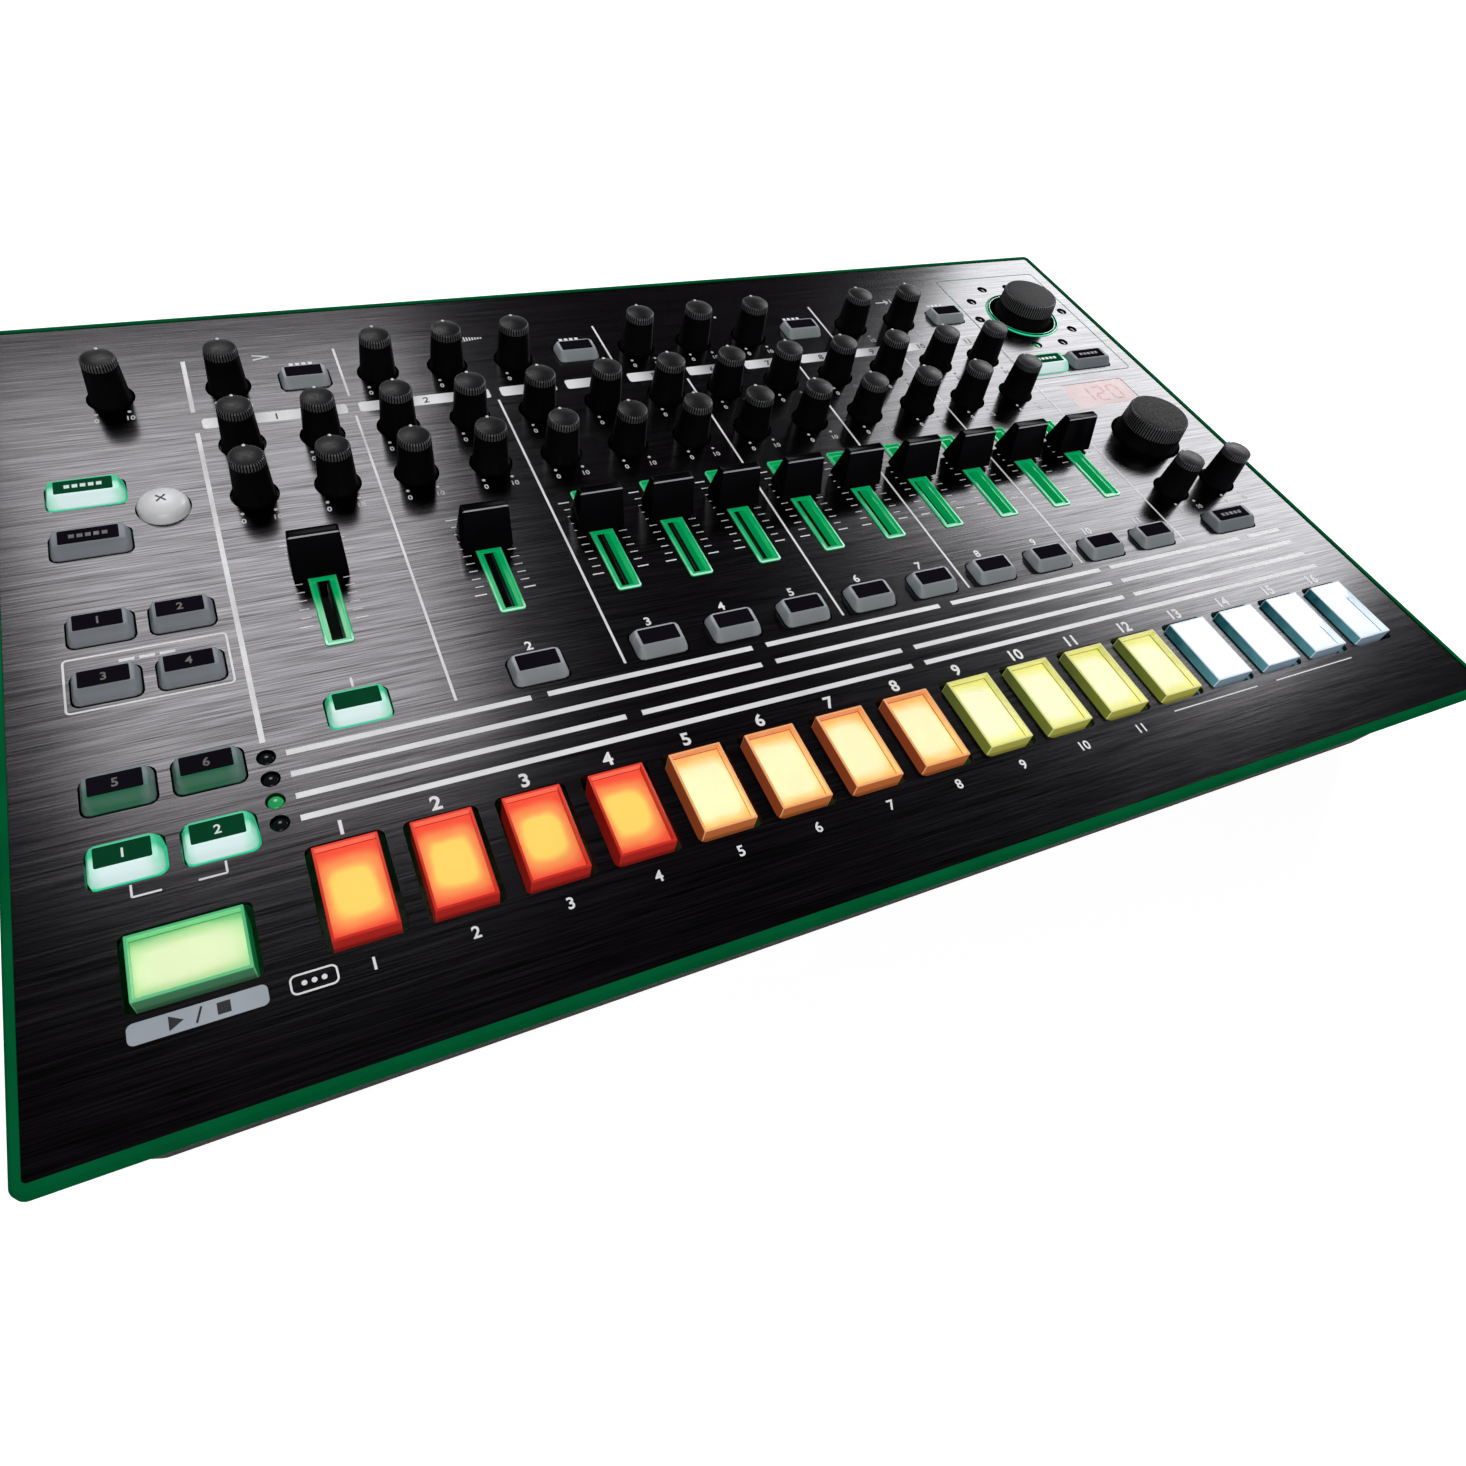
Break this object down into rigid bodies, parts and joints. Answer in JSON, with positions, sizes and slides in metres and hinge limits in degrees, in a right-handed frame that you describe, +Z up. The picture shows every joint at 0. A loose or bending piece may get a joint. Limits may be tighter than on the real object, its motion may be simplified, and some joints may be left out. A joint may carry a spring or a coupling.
{
  "type": "drum machine",
  "caption": "Table-top drum machine: sloping brushed panel with rotary knobs, slot faders, lit step pads and buttons, in a coloured surround over a tapered case with rear sockets.",
  "frame": {"origin": "on the table, under the middle of the box over the whole object", "axes": "+Z up, +Y from the player to the sockets at the back, +X to the player's right"},
  "size_m": [0.4, 0.26, 0.065],
  "materials": {
    "panel": "brushed and dark anodised",
    "surround": "satin",
    "case": "fine texture",
    "foot": "matt",
    "steel": "zinc plated",
    "board": "solder mask",
    "component": "moulded",
    "light_guide": "translucent",
    "window": "tinted clear",
    "socket": "moulded",
    "fader": "polished",
    "knob": "soft matt",
    "pad_red": "clear tinted, lit",
    "pad_orange": "clear tinted, lit",
    "pad_yellow": "clear tinted, lit",
    "pad_white": "clear tinted, lit",
    "start": "clear tinted, lit",
    "button": "translucent satin"
  },
  "bodies": {
    "chassis": {"top_plate": "panel", "trim_frame": "surround", "bottom_case": "case", "rubber_feet": "foot", "screws_and_nuts": "steel", "circuit_boards": "board", "control_bodies": "component", "light_guides": "light_guide", "display_window": "window", "rear_sockets": "socket"},
    "fader_caps": {"fader_caps": "fader"},
    "pads_1_to_4": {"pads_1_to_4": "pad_red"},
    "pads_5_to_8": {"pads_5_to_8": "pad_orange"},
    "pads_9_to_12": {"pads_9_to_12": "pad_yellow"},
    "pads_13_to_16": {"pads_13_to_16": "pad_white"},
    "start_stop_button": {"start_stop_button": "start"},
    "function_buttons": {"function_buttons": "button"},
    "voice_buttons": {"voice_buttons": "button"},
    "step_assign_buttons": {"step_assign_buttons": "button"},
    "value_dial": {"value_dial": "knob"},
    "tempo_dial": {"tempo_dial": "knob"},
    "power_switch": {"power_switch": "socket"},
    "volume_knob": {"volume_knob": "knob"},
    "accent_knob": {"accent_knob": "knob"},
    "reverb_level_knob": {"reverb_level_knob": "knob"},
    "reverb_time_knob": {"reverb_time_knob": "knob"},
    "reverb_gate_knob": {"reverb_gate_knob": "knob"},
    "delay_level_knob": {"delay_level_knob": "knob"},
    "delay_time_knob": {"delay_time_knob": "knob"},
    "delay_feedback_knob": {"delay_feedback_knob": "knob"},
    "external_level_knob": {"external_level_knob": "knob"},
    "external_side_knob": {"external_side_knob": "knob"},
    "bass_tune_knob": {"bass_tune_knob": "knob"},
    "bass_attack_knob": {"bass_attack_knob": "knob"},
    "snare_tune_knob": {"snare_tune_knob": "knob"},
    "snare_snappy_knob": {"snare_snappy_knob": "knob"},
    "low_tom_tune_knob": {"low_tom_tune_knob": "knob"},
    "mid_tom_tune_knob": {"mid_tom_tune_knob": "knob"},
    "high_tom_tune_knob": {"high_tom_tune_knob": "knob"},
    "rim_shot_tune_knob": {"rim_shot_tune_knob": "knob"},
    "hand_clap_tune_knob": {"hand_clap_tune_knob": "knob"},
    "closed_hat_tune_knob": {"closed_hat_tune_knob": "knob"},
    "open_hat_tune_knob": {"open_hat_tune_knob": "knob"},
    "crash_tune_knob": {"crash_tune_knob": "knob"},
    "ride_tune_knob": {"ride_tune_knob": "knob"},
    "bass_comp_knob": {"bass_comp_knob": "knob"},
    "bass_decay_knob": {"bass_decay_knob": "knob"},
    "snare_comp_knob": {"snare_comp_knob": "knob"},
    "snare_decay_knob": {"snare_decay_knob": "knob"},
    "low_tom_decay_knob": {"low_tom_decay_knob": "knob"},
    "mid_tom_decay_knob": {"mid_tom_decay_knob": "knob"},
    "high_tom_decay_knob": {"high_tom_decay_knob": "knob"},
    "rim_shot_decay_knob": {"rim_shot_decay_knob": "knob"},
    "hand_clap_decay_knob": {"hand_clap_decay_knob": "knob"},
    "closed_hat_decay_knob": {"closed_hat_decay_knob": "knob"},
    "open_hat_decay_knob": {"open_hat_decay_knob": "knob"},
    "crash_decay_knob": {"crash_decay_knob": "knob"},
    "ride_decay_knob": {"ride_decay_knob": "knob"},
    "shuffle_knob": {"shuffle_knob": "knob"},
    "fine_tempo_knob": {"fine_tempo_knob": "knob"}
  },
  "joints": [
    {"name": "fader_slide", "type": "slide", "parent": "chassis", "child": "fader_caps", "axis": [0, 0.9986, 0.0523], "range_m": [-0.022, 0.008]},
    {"name": "pads_1_to_4_press", "type": "slide", "parent": "chassis", "child": "pads_1_to_4", "axis": [0, 0.0523, -0.9986], "range_m": [0, 0.0012], "stiffness_N_per_m": 1200, "springref_m": -0.0008},
    {"name": "pads_5_to_8_press", "type": "slide", "parent": "chassis", "child": "pads_5_to_8", "axis": [0, 0.0523, -0.9986], "range_m": [0, 0.0012], "stiffness_N_per_m": 1200, "springref_m": -0.0008},
    {"name": "pads_9_to_12_press", "type": "slide", "parent": "chassis", "child": "pads_9_to_12", "axis": [0, 0.0523, -0.9986], "range_m": [0, 0.0012], "stiffness_N_per_m": 1200, "springref_m": -0.0008},
    {"name": "pads_13_to_16_press", "type": "slide", "parent": "chassis", "child": "pads_13_to_16", "axis": [0, 0.0523, -0.9986], "range_m": [0, 0.0012], "stiffness_N_per_m": 1200, "springref_m": -0.0008},
    {"name": "start_stop_press", "type": "slide", "parent": "chassis", "child": "start_stop_button", "axis": [0, 0.0523, -0.9986], "range_m": [0, 0.0012], "stiffness_N_per_m": 300, "springref_m": -0.0008},
    {"name": "function_buttons_press", "type": "slide", "parent": "chassis", "child": "function_buttons", "axis": [0, 0.0523, -0.9986], "range_m": [0, 0.0012], "stiffness_N_per_m": 1000, "springref_m": -0.0008},
    {"name": "voice_buttons_press", "type": "slide", "parent": "chassis", "child": "voice_buttons", "axis": [0, 0.0523, -0.9986], "range_m": [0, 0.0012], "stiffness_N_per_m": 900, "springref_m": -0.0008},
    {"name": "step_assign_buttons_press", "type": "slide", "parent": "chassis", "child": "step_assign_buttons", "axis": [0, 0.0523, -0.9986], "range_m": [0, 0.0012], "stiffness_N_per_m": 400, "springref_m": -0.0008},
    {"name": "value_dial_turn", "type": "hinge", "parent": "chassis", "child": "value_dial", "pos_m": [0.1668, 0.08361, 0.05069], "axis": [0, 0.0523, -0.9986], "continuous": true},
    {"name": "tempo_dial_turn", "type": "hinge", "parent": "chassis", "child": "tempo_dial", "pos_m": [0.167, 0.00293, 0.04647], "axis": [0, 0.0523, -0.9986], "continuous": true},
    {"name": "power_switch_slide", "type": "slide", "parent": "chassis", "child": "power_switch", "axis": [1, 0, 0], "range_m": [-0.004, 0]},
    {"name": "volume_knob_turn", "type": "hinge", "parent": "chassis", "child": "volume_knob", "pos_m": [-0.1683, 0.08731, 0.05089], "axis": [0, 0.0523, -0.9986], "range_deg": [-150, 150]},
    {"name": "accent_knob_turn", "type": "hinge", "parent": "chassis", "child": "accent_knob", "pos_m": [-0.13638, 0.08731, 0.05089], "axis": [0, 0.0523, -0.9986], "range_deg": [-150, 150]},
    {"name": "reverb_level_knob_turn", "type": "hinge", "parent": "chassis", "child": "reverb_level_knob", "pos_m": [-0.09193, 0.08731, 0.05089], "axis": [0, 0.0523, -0.9986], "range_deg": [-150, 150]},
    {"name": "reverb_time_knob_turn", "type": "hinge", "parent": "chassis", "child": "reverb_time_knob", "pos_m": [-0.0697, 0.08731, 0.05089], "axis": [0, 0.0523, -0.9986], "range_deg": [-150, 150]},
    {"name": "reverb_gate_knob_turn", "type": "hinge", "parent": "chassis", "child": "reverb_gate_knob", "pos_m": [-0.04747, 0.08731, 0.05089], "axis": [0, 0.0523, -0.9986], "range_deg": [-150, 150]},
    {"name": "delay_level_knob_turn", "type": "hinge", "parent": "chassis", "child": "delay_level_knob", "pos_m": [-0.00302, 0.08731, 0.05089], "axis": [0, 0.0523, -0.9986], "range_deg": [-150, 150]},
    {"name": "delay_time_knob_turn", "type": "hinge", "parent": "chassis", "child": "delay_time_knob", "pos_m": [0.01921, 0.08731, 0.05089], "axis": [0, 0.0523, -0.9986], "range_deg": [-150, 150]},
    {"name": "delay_feedback_knob_turn", "type": "hinge", "parent": "chassis", "child": "delay_feedback_knob", "pos_m": [0.04144, 0.08731, 0.05089], "axis": [0, 0.0523, -0.9986], "range_deg": [-150, 150]},
    {"name": "external_level_knob_turn", "type": "hinge", "parent": "chassis", "child": "external_level_knob", "pos_m": [0.08589, 0.08731, 0.05089], "axis": [0, 0.0523, -0.9986], "range_deg": [-150, 150]},
    {"name": "external_side_knob_turn", "type": "hinge", "parent": "chassis", "child": "external_side_knob", "pos_m": [0.10812, 0.08731, 0.05089], "axis": [0, 0.0523, -0.9986], "range_deg": [-150, 150]},
    {"name": "bass_tune_knob_turn", "type": "hinge", "parent": "chassis", "child": "bass_tune_knob", "pos_m": [-0.13638, 0.05935, 0.04942], "axis": [0, 0.0523, -0.9986], "range_deg": [-150, 150]},
    {"name": "bass_attack_knob_turn", "type": "hinge", "parent": "chassis", "child": "bass_attack_knob", "pos_m": [-0.11415, 0.05935, 0.04942], "axis": [0, 0.0523, -0.9986], "range_deg": [-150, 150]},
    {"name": "snare_tune_knob_turn", "type": "hinge", "parent": "chassis", "child": "snare_tune_knob", "pos_m": [-0.09193, 0.05935, 0.04942], "axis": [0, 0.0523, -0.9986], "range_deg": [-150, 150]},
    {"name": "snare_snappy_knob_turn", "type": "hinge", "parent": "chassis", "child": "snare_snappy_knob", "pos_m": [-0.0697, 0.05935, 0.04942], "axis": [0, 0.0523, -0.9986], "range_deg": [-150, 150]},
    {"name": "low_tom_tune_knob_turn", "type": "hinge", "parent": "chassis", "child": "low_tom_tune_knob", "pos_m": [-0.04747, 0.05935, 0.04942], "axis": [0, 0.0523, -0.9986], "range_deg": [-150, 150]},
    {"name": "mid_tom_tune_knob_turn", "type": "hinge", "parent": "chassis", "child": "mid_tom_tune_knob", "pos_m": [-0.02525, 0.05935, 0.04942], "axis": [0, 0.0523, -0.9986], "range_deg": [-150, 150]},
    {"name": "high_tom_tune_knob_turn", "type": "hinge", "parent": "chassis", "child": "high_tom_tune_knob", "pos_m": [-0.00302, 0.05935, 0.04942], "axis": [0, 0.0523, -0.9986], "range_deg": [-150, 150]},
    {"name": "rim_shot_tune_knob_turn", "type": "hinge", "parent": "chassis", "child": "rim_shot_tune_knob", "pos_m": [0.01921, 0.05935, 0.04942], "axis": [0, 0.0523, -0.9986], "range_deg": [-150, 150]},
    {"name": "hand_clap_tune_knob_turn", "type": "hinge", "parent": "chassis", "child": "hand_clap_tune_knob", "pos_m": [0.04144, 0.05935, 0.04942], "axis": [0, 0.0523, -0.9986], "range_deg": [-150, 150]},
    {"name": "closed_hat_tune_knob_turn", "type": "hinge", "parent": "chassis", "child": "closed_hat_tune_knob", "pos_m": [0.06366, 0.05935, 0.04942], "axis": [0, 0.0523, -0.9986], "range_deg": [-150, 150]},
    {"name": "open_hat_tune_knob_turn", "type": "hinge", "parent": "chassis", "child": "open_hat_tune_knob", "pos_m": [0.08589, 0.05935, 0.04942], "axis": [0, 0.0523, -0.9986], "range_deg": [-150, 150]},
    {"name": "crash_tune_knob_turn", "type": "hinge", "parent": "chassis", "child": "crash_tune_knob", "pos_m": [0.10812, 0.05935, 0.04942], "axis": [0, 0.0523, -0.9986], "range_deg": [-150, 150]},
    {"name": "ride_tune_knob_turn", "type": "hinge", "parent": "chassis", "child": "ride_tune_knob", "pos_m": [0.13034, 0.05935, 0.04942], "axis": [0, 0.0523, -0.9986], "range_deg": [-150, 150]},
    {"name": "bass_comp_knob_turn", "type": "hinge", "parent": "chassis", "child": "bass_comp_knob", "pos_m": [-0.13638, 0.03698, 0.04825], "axis": [0, 0.0523, -0.9986], "range_deg": [-150, 150]},
    {"name": "bass_decay_knob_turn", "type": "hinge", "parent": "chassis", "child": "bass_decay_knob", "pos_m": [-0.11415, 0.03698, 0.04825], "axis": [0, 0.0523, -0.9986], "range_deg": [-150, 150]},
    {"name": "snare_comp_knob_turn", "type": "hinge", "parent": "chassis", "child": "snare_comp_knob", "pos_m": [-0.09193, 0.03698, 0.04825], "axis": [0, 0.0523, -0.9986], "range_deg": [-150, 150]},
    {"name": "snare_decay_knob_turn", "type": "hinge", "parent": "chassis", "child": "snare_decay_knob", "pos_m": [-0.0697, 0.03698, 0.04825], "axis": [0, 0.0523, -0.9986], "range_deg": [-150, 150]},
    {"name": "low_tom_decay_knob_turn", "type": "hinge", "parent": "chassis", "child": "low_tom_decay_knob", "pos_m": [-0.04747, 0.03698, 0.04825], "axis": [0, 0.0523, -0.9986], "range_deg": [-150, 150]},
    {"name": "mid_tom_decay_knob_turn", "type": "hinge", "parent": "chassis", "child": "mid_tom_decay_knob", "pos_m": [-0.02525, 0.03698, 0.04825], "axis": [0, 0.0523, -0.9986], "range_deg": [-150, 150]},
    {"name": "high_tom_decay_knob_turn", "type": "hinge", "parent": "chassis", "child": "high_tom_decay_knob", "pos_m": [-0.00302, 0.03698, 0.04825], "axis": [0, 0.0523, -0.9986], "range_deg": [-150, 150]},
    {"name": "rim_shot_decay_knob_turn", "type": "hinge", "parent": "chassis", "child": "rim_shot_decay_knob", "pos_m": [0.01921, 0.03698, 0.04825], "axis": [0, 0.0523, -0.9986], "range_deg": [-150, 150]},
    {"name": "hand_clap_decay_knob_turn", "type": "hinge", "parent": "chassis", "child": "hand_clap_decay_knob", "pos_m": [0.04144, 0.03698, 0.04825], "axis": [0, 0.0523, -0.9986], "range_deg": [-150, 150]},
    {"name": "closed_hat_decay_knob_turn", "type": "hinge", "parent": "chassis", "child": "closed_hat_decay_knob", "pos_m": [0.06366, 0.03698, 0.04825], "axis": [0, 0.0523, -0.9986], "range_deg": [-150, 150]},
    {"name": "open_hat_decay_knob_turn", "type": "hinge", "parent": "chassis", "child": "open_hat_decay_knob", "pos_m": [0.08589, 0.03698, 0.04825], "axis": [0, 0.0523, -0.9986], "range_deg": [-150, 150]},
    {"name": "crash_decay_knob_turn", "type": "hinge", "parent": "chassis", "child": "crash_decay_knob", "pos_m": [0.10812, 0.03698, 0.04825], "axis": [0, 0.0523, -0.9986], "range_deg": [-150, 150]},
    {"name": "ride_decay_knob_turn", "type": "hinge", "parent": "chassis", "child": "ride_decay_knob", "pos_m": [0.13034, 0.03698, 0.04825], "axis": [0, 0.0523, -0.9986], "range_deg": [-150, 150]},
    {"name": "shuffle_knob_turn", "type": "hinge", "parent": "chassis", "child": "shuffle_knob", "pos_m": [0.1559, -0.02454, 0.04503], "axis": [0, 0.0523, -0.9986], "range_deg": [-150, 150]},
    {"name": "fine_tempo_knob_turn", "type": "hinge", "parent": "chassis", "child": "fine_tempo_knob", "pos_m": [0.178, -0.02454, 0.04503], "axis": [0, 0.0523, -0.9986], "range_deg": [-150, 150]}
  ]
}
